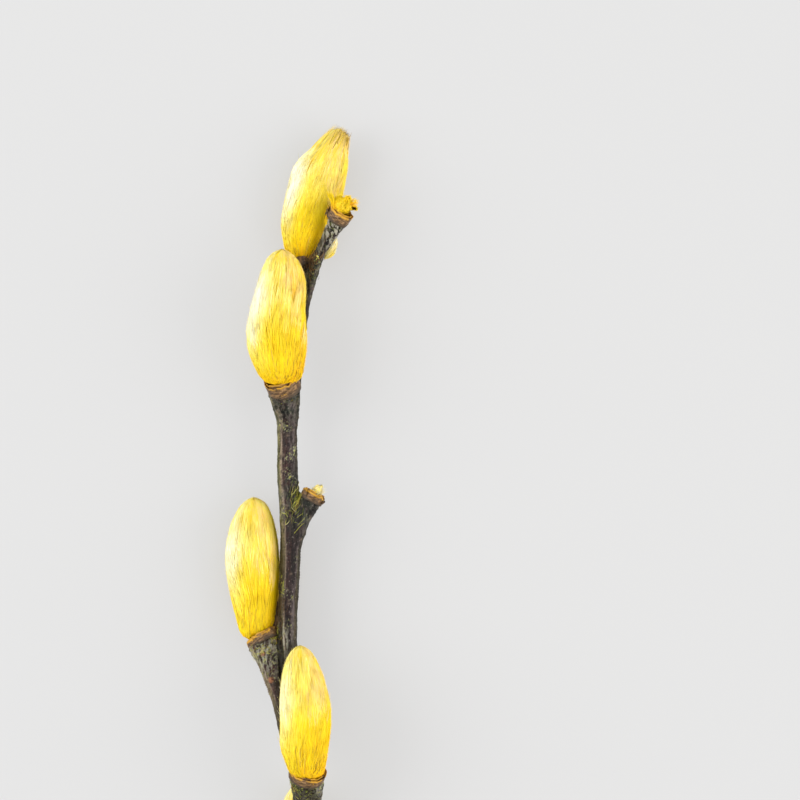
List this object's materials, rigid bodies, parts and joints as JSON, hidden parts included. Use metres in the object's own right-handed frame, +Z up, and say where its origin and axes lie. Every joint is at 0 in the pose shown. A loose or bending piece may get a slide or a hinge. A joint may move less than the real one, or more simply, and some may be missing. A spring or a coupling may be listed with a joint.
{
  "type": "willow twig",
  "caption": "Cut willow twig lying down, with plump furry yellow catkins sitting in old bud-scale cups on short side spurs of a dark woody stem.",
  "frame": {"origin": "middle of the twig's length and width, on the surface that it lies on", "axes": "+Y along the stem towards its growing tip, +X to the right as seen from above with the tip pointing away, +Z up"},
  "size_m": [0.029, 0.1776, 0.0192],
  "materials": {
    "bark": "rough, ridged, dark grey-brown bark",
    "catkin_fur": "silky combed fur, dyed yellow",
    "bud_scale": "thin dry papery scale, tan brown",
    "floss": "matted yellow floss"
  },
  "bodies": {
    "root": {"twig_stem": "bark", "catkin_1": "catkin_fur", "catkin_2": "catkin_fur", "catkin_3": "catkin_fur", "catkin_4": "catkin_fur", "catkin_5": "catkin_fur", "catkin_6": "catkin_fur", "collar_1": "bud_scale", "collar_2": "bud_scale", "collar_3": "bud_scale", "collar_4": "bud_scale", "collar_5": "bud_scale", "collar_6": "bud_scale", "collar_tip": "bud_scale", "floss_tip": "floss", "collar_spur": "bud_scale", "floss_spur": "floss", "bud_back": "catkin_fur"}
  },
  "joints": []
}
